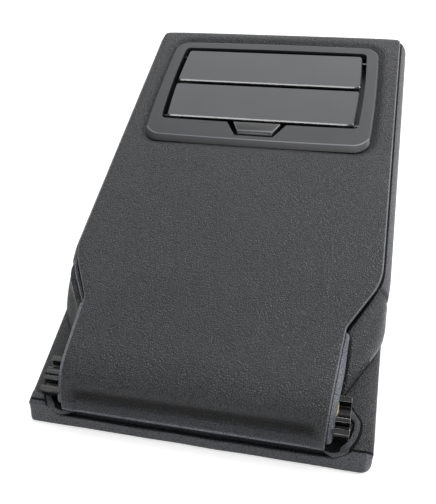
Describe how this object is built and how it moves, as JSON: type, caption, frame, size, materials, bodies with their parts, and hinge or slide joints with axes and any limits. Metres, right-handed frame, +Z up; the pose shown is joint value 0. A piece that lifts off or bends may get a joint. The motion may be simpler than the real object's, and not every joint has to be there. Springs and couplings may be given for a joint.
{
  "type": "rear seat armrest",
  "caption": "Fold-down rear seat armrest: leather covered cushions with a narrowed hinge neck, side hinge brackets, and a cup holder under hinged lids with a release button.",
  "frame": {"origin": "middle of the underside, at the centre of the bounding box in plan", "axes": "+X across the seat to the right seen from the hinge end, +Y from the hinge end towards the cup holder end, +Z up"},
  "size_m": [0.28, 0.472, 0.054],
  "materials": {
    "cover_leather": "fine grain",
    "cushion_foam": "open cell foam",
    "matte_black_plastic": "matte",
    "gloss_black_plastic": "gloss",
    "button_grey_plastic": "satin",
    "bush_plastic": "satin",
    "mat_rubber": "matte",
    "steel": "zinc plated"
  },
  "bodies": {
    "armrest": {"top_panel": "cover_leather", "left_side_panel": "cover_leather", "right_side_panel": "cover_leather", "left_gusset": "cover_leather", "right_gusset": "cover_leather", "left_neck_strip": "cover_leather", "right_neck_strip": "cover_leather", "base_cover": "cover_leather", "base_top_panel": "cover_leather", "hem_strip": "cover_leather", "apron": "cover_leather", "upper_foam": "cushion_foam", "base_foam": "cushion_foam", "carrier": "matte_black_plastic", "base_board": "matte_black_plastic", "bezel": "matte_black_plastic", "cup_tray": "matte_black_plastic", "left_hinge_bracket": "gloss_black_plastic", "right_hinge_bracket": "gloss_black_plastic", "left_pivot_bush": "bush_plastic", "right_pivot_bush": "bush_plastic", "left_cup_mat": "mat_rubber", "right_cup_mat": "mat_rubber", "front_lid_pins": "steel", "rear_lid_pins": "steel", "front_lid_springs": "steel", "rear_lid_springs": "steel", "latch_spring": "steel", "tray_screws": "steel", "bracket_screws": "steel"},
    "front_lid": {"front_lid_cover": "gloss_black_plastic", "front_lid_frame": "matte_black_plastic"},
    "rear_lid": {"rear_lid_cover": "gloss_black_plastic", "rear_lid_frame": "matte_black_plastic"},
    "button": {"release_button": "button_grey_plastic"},
    "latch": {"latch_bar": "matte_black_plastic"}
  },
  "joints": [
    {"name": "front_lid_hinge", "type": "hinge", "parent": "armrest", "child": "front_lid", "pos_m": [0, 0.19, 0.0468], "axis": [-1, 0, 0], "range_deg": [0, 95], "deforming": ["front_lid_springs"]},
    {"name": "rear_lid_hinge", "type": "hinge", "parent": "armrest", "child": "rear_lid", "pos_m": [0, 0.092, 0.0468], "axis": [1, 0, 0], "range_deg": [0, 95], "deforming": ["rear_lid_springs"]},
    {"name": "button_press", "type": "slide", "parent": "armrest", "child": "button", "axis": [0, 0, -1], "range_m": [0, 0.0025], "stiffness_N_per_m": 600, "springref_m": -0.002},
    {"name": "latch_slide", "type": "slide", "parent": "armrest", "child": "latch", "axis": [0, -1, 0], "range_m": [0, 0.0025], "deforming": ["latch_spring"]}
  ],
  "couplings": [
    {"joint": "latch_slide", "follows": "button_press", "ratio": 1}
  ]
}
